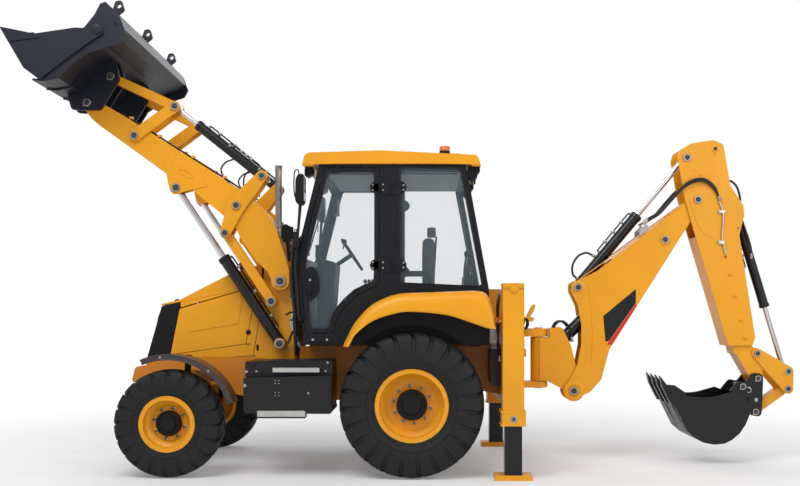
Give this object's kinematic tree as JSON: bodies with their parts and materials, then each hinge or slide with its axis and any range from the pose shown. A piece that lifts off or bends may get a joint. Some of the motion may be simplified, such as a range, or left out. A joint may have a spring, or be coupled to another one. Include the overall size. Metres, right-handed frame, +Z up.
{
  "type": "backhoe loader",
  "caption": "Four-wheel backhoe loader with a raised front loader and clam bucket, a closed cab, a side-shift backhoe and two vertical stabilizers.",
  "frame": {"origin": "on the ground, under the middle of the machine as stored, loader raised and backhoe folded", "axes": "+X forward, +Y to the operator's left, +Z up"},
  "size_m": [7.4518, 2.35, 4.3414],
  "materials": {
    "yellow_paint": "gloss paint",
    "black_paint": "satin paint",
    "bucket_paint": "satin paint",
    "engine_iron": "cast",
    "black_mesh": "matte",
    "steel": "brushed",
    "chrome": "polished",
    "glass": "clear tinted",
    "black_plastic": "textured",
    "seat_cloth": "woven",
    "tyre": "moulded rubber"
  },
  "bodies": {
    "chassis": {"chassis_frame": "yellow_paint", "loader_towers": "yellow_paint", "engine": "engine_iron", "front_axle": "black_paint", "rear_axle": "yellow_paint", "side_panels": "yellow_paint", "grille": "black_mesh", "exhaust_stack": "steel", "cab_frame": "black_paint", "cab_roof": "yellow_paint", "cab_glass": "glass", "cab_console": "black_plastic", "seat": "seat_cloth", "rear_fenders": "yellow_paint", "side_tanks": "black_paint", "mirrors": "black_plastic", "rear_frame": "yellow_paint"},
    "hood": {"hood": "yellow_paint"},
    "left_door": {"left_door": "black_paint", "left_door_glass": "glass"},
    "right_door": {"right_door": "black_paint", "right_door_glass": "glass"},
    "left_knuckle": {"left_knuckle": "black_paint"},
    "right_knuckle": {"right_knuckle": "black_paint"},
    "front_left_wheel": {"front_left_tyre": "tyre", "front_left_rim": "yellow_paint"},
    "front_right_wheel": {"front_right_tyre": "tyre", "front_right_rim": "yellow_paint"},
    "rear_left_wheel": {"rear_left_tyre": "tyre", "rear_left_rim": "yellow_paint"},
    "rear_right_wheel": {"rear_right_tyre": "tyre", "rear_right_rim": "yellow_paint"},
    "digging_bucket": {"quick_hitch": "bucket_paint", "dig_bucket": "bucket_paint"},
    "loader_arms": {"loader_arms": "yellow_paint"},
    "tilt_levers": {"tilt_levers": "yellow_paint"},
    "levelling_rods": {"levelling_rods": "yellow_paint"},
    "tip_levers": {"tip_levers": "yellow_paint"},
    "bucket_links": {"bucket_links": "yellow_paint"},
    "loader_bucket": {"loader_bucket": "bucket_paint"},
    "bucket_clam": {"bucket_clam": "bucket_paint"},
    "tilt_barrels": {"tilt_barrels": "black_paint"},
    "tilt_rods": {"tilt_rods": "chrome"},
    "lift_barrels": {"lift_barrels": "black_paint"},
    "lift_rods": {"lift_rods": "chrome"},
    "left_stabilizer": {"left_stabilizer": "black_paint"},
    "right_stabilizer": {"right_stabilizer": "black_paint"},
    "carriage": {"carriage": "yellow_paint"},
    "swing_post": {"swing_post": "yellow_paint"},
    "boom": {"boom": "yellow_paint"},
    "boom_barrel": {"boom_barrel": "black_paint"},
    "boom_rod": {"boom_rod": "chrome"},
    "dipper": {"dipper": "yellow_paint"},
    "dipper_barrel": {"dipper_barrel": "black_paint"},
    "dipper_rod": {"dipper_rod": "chrome"},
    "inner_dipper": {"inner_dipper": "yellow_paint"},
    "crowd_barrel": {"crowd_barrel": "black_paint"},
    "crowd_rod": {"crowd_rod": "chrome"},
    "crowd_lever": {"crowd_lever": "yellow_paint"},
    "crowd_link": {"crowd_link": "yellow_paint"}
  },
  "joints": [
    {"name": "front_left_steer", "type": "hinge", "parent": "chassis", "child": "left_knuckle", "pos_m": [2.254, 0.7, 0.488], "axis": [0, 0, 1], "range_deg": [-30, 30]},
    {"name": "front_right_steer", "type": "hinge", "parent": "chassis", "child": "right_knuckle", "pos_m": [2.254, -0.7, 0.488], "axis": [0, 0, 1], "range_deg": [-30, 30]},
    {"name": "front_left_spin", "type": "hinge", "parent": "left_knuckle", "child": "front_left_wheel", "pos_m": [2.254, 0.915, 0.488], "axis": [0, 1, 0], "continuous": true},
    {"name": "rear_left_spin", "type": "hinge", "parent": "chassis", "child": "rear_left_wheel", "pos_m": [0.054, 0.905, 0.657], "axis": [0, 1, 0], "continuous": true},
    {"name": "front_right_spin", "type": "hinge", "parent": "right_knuckle", "child": "front_right_wheel", "pos_m": [2.254, -0.915, 0.488], "axis": [0, 1, 0], "continuous": true},
    {"name": "rear_right_spin", "type": "hinge", "parent": "chassis", "child": "rear_right_wheel", "pos_m": [0.054, -0.905, 0.657], "axis": [0, 1, 0], "continuous": true},
    {"name": "hood_hinge", "type": "hinge", "parent": "chassis", "child": "hood", "pos_m": [1.513, 0, 1.95], "axis": [0, -1, 0], "range_deg": [0, 50]},
    {"name": "left_door_hinge", "type": "hinge", "parent": "chassis", "child": "left_door", "pos_m": [0.357, 0.7683, 1.3], "axis": [0, 0, 1], "range_deg": [0, 50]},
    {"name": "right_door_hinge", "type": "hinge", "parent": "chassis", "child": "right_door", "pos_m": [0.357, -0.7683, 1.3], "axis": [0, 0, -1], "range_deg": [0, 50]},
    {"name": "lift", "type": "hinge", "parent": "chassis", "child": "loader_arms", "pos_m": [1.317, 0, 1.789], "axis": [0, -1, 0], "range_deg": [-81.3, 2]},
    {"name": "levelling", "type": "hinge", "parent": "chassis", "child": "levelling_rods", "pos_m": [1.404, 0, 1.597], "axis": [0, -1, 0], "range_deg": [-87.12, 3.81]},
    {"name": "tilt_lever", "type": "hinge", "parent": "loader_arms", "child": "tilt_levers", "pos_m": [1.731, 0, 2.509], "axis": [0, -1, 0], "range_deg": [-2.64, 60.37]},
    {"name": "tilt_barrel", "type": "hinge", "parent": "tilt_levers", "child": "tilt_barrels", "pos_m": [1.489, 0, 2.791], "axis": [0, -1, 0], "range_deg": [-53.17, 2.33]},
    {"name": "lift_barrel", "type": "hinge", "parent": "chassis", "child": "lift_barrels", "pos_m": [1.323, 0, 1.196], "axis": [0, -1, 0], "range_deg": [-68.23, 2.98]},
    {"name": "lift_rod", "type": "slide", "parent": "lift_barrels", "child": "lift_rods", "axis": [0.5534, 0, 0.8329], "range_m": [-0.7131, 0.03118]},
    {"name": "bucket_tilt", "type": "hinge", "parent": "loader_arms", "child": "loader_bucket", "pos_m": [3.147, 0, 3.486], "axis": [0, 1, 0], "range_deg": [-38, 95]},
    {"name": "tip_lever", "type": "hinge", "parent": "loader_arms", "child": "tip_levers", "pos_m": [2.699, 0, 3.173], "axis": [0, 1, 0], "range_deg": [-27.64, 67.12]},
    {"name": "bucket_link", "type": "hinge", "parent": "tip_levers", "child": "bucket_links", "pos_m": [2.315, 0, 3.45], "axis": [0, 1, 0], "range_deg": [-49.7, 20.46]},
    {"name": "tilt_rod", "type": "slide", "parent": "tilt_barrels", "child": "tilt_rods", "axis": [0.7817, 0, 0.6237], "range_m": [-0.19551, 0.47481]},
    {"name": "clam", "type": "hinge", "parent": "loader_bucket", "child": "bucket_clam", "pos_m": [2.861, 0, 4.011], "axis": [0, -1, 0], "range_deg": [0, 65]},
    {"name": "left_leg", "type": "slide", "parent": "chassis", "child": "left_stabilizer", "axis": [0, 0, 1], "range_m": [0, 0.43]},
    {"name": "right_leg", "type": "slide", "parent": "chassis", "child": "right_stabilizer", "axis": [0, 0, 1], "range_m": [0, 0.43]},
    {"name": "sideshift", "type": "slide", "parent": "chassis", "child": "carriage", "axis": [0, 1, 0], "range_m": [-0.5, 0.5]},
    {"name": "swing", "type": "hinge", "parent": "carriage", "child": "swing_post", "pos_m": [-1.204, 0, 1], "axis": [0, 0, 1], "range_deg": [-85, 85]},
    {"name": "boom_lift", "type": "hinge", "parent": "swing_post", "child": "boom", "pos_m": [-1.543, 0, 0.71], "axis": [0, 1, 0], "range_deg": [-90, 8]},
    {"name": "boom_cylinder", "type": "hinge", "parent": "swing_post", "child": "boom_barrel", "pos_m": [-1.44, 0, 1.214], "axis": [0, 1, 0], "range_deg": [-90.43, 9.65]},
    {"name": "boom_piston", "type": "slide", "parent": "boom_barrel", "child": "boom_rod", "axis": [-0.7103, 0, 0.7039], "range_m": [-0.07979, 0.74743]},
    {"name": "dipper_swing", "type": "hinge", "parent": "boom", "child": "dipper", "pos_m": [-2.773, 0, 2.612], "axis": [0, 1, 0], "range_deg": [-3, 95]},
    {"name": "dipper_cylinder", "type": "hinge", "parent": "boom", "child": "dipper_barrel", "pos_m": [-1.587, 0, 1.742], "axis": [0, 1, 0], "range_deg": [-1.79, 0.09]},
    {"name": "dipper_piston", "type": "slide", "parent": "dipper_barrel", "child": "dipper_rod", "axis": [-0.6415, 0, 0.7671], "range_m": [-0.64717, 0.03273]},
    {"name": "dipper_extend", "type": "slide", "parent": "dipper", "child": "inner_dipper", "axis": [-0.246, 0, -0.9693], "range_m": [0, 1]},
    {"name": "bucket_crowd", "type": "hinge", "parent": "inner_dipper", "child": "digging_bucket", "pos_m": [-3.37, 0, 0.835], "axis": [0, 1, 0], "range_deg": [-10, 140]},
    {"name": "crowd_lever_turn", "type": "hinge", "parent": "inner_dipper", "child": "crowd_lever", "pos_m": [-3.365, 0, 1.084], "axis": [0, 1, 0], "range_deg": [-9.24, 103.12]},
    {"name": "crowd_link_turn", "type": "hinge", "parent": "crowd_lever", "child": "crowd_link", "pos_m": [-3.674, 0, 0.732], "axis": [0, 1, 0], "range_deg": [-47.66, 4.27]},
    {"name": "crowd_cylinder", "type": "hinge", "parent": "inner_dipper", "child": "crowd_barrel", "pos_m": [-3.195, 0, 2.502], "axis": [0, 1, 0], "range_deg": [-0.23, 2.6]},
    {"name": "crowd_piston", "type": "slide", "parent": "crowd_barrel", "child": "crowd_rod", "axis": [-0.2882, 0, -0.9576], "range_m": [-0.567, 0.05082]}
  ],
  "couplings": [
    {"joint": "front_right_steer", "follows": "front_left_steer", "ratio": 1},
    {"joint": "levelling", "follows": "lift", "ratio": 1.0505},
    {"joint": "tilt_lever", "follows": "lift", "ratio": -0.72803},
    {"joint": "tilt_barrel", "follows": "lift", "ratio": 0.64116},
    {"joint": "lift_barrel", "follows": "lift", "ratio": 0.82283},
    {"joint": "lift_rod", "follows": "lift", "m_per_rad": 0.4927},
    {"joint": "tip_lever", "follows": "bucket_tilt", "ratio": 0.69268},
    {"joint": "bucket_link", "follows": "bucket_tilt", "ratio": -0.51292},
    {"joint": "tilt_rod", "follows": "bucket_tilt", "m_per_rad": 0.28075},
    {"joint": "boom_cylinder", "follows": "boom_lift", "ratio": 0.98511},
    {"joint": "boom_piston", "follows": "boom_lift", "m_per_rad": -0.4665},
    {"joint": "dipper_cylinder", "follows": "dipper_swing", "ratio": -0.018489},
    {"joint": "dipper_piston", "follows": "dipper_swing", "m_per_rad": -0.38266},
    {"joint": "crowd_lever_turn", "follows": "bucket_crowd", "ratio": 0.72215},
    {"joint": "crowd_link_turn", "follows": "bucket_crowd", "ratio": -0.33372},
    {"joint": "crowd_cylinder", "follows": "bucket_crowd", "ratio": 0.01817},
    {"joint": "crowd_piston", "follows": "bucket_crowd", "m_per_rad": -0.2275}
  ]
}
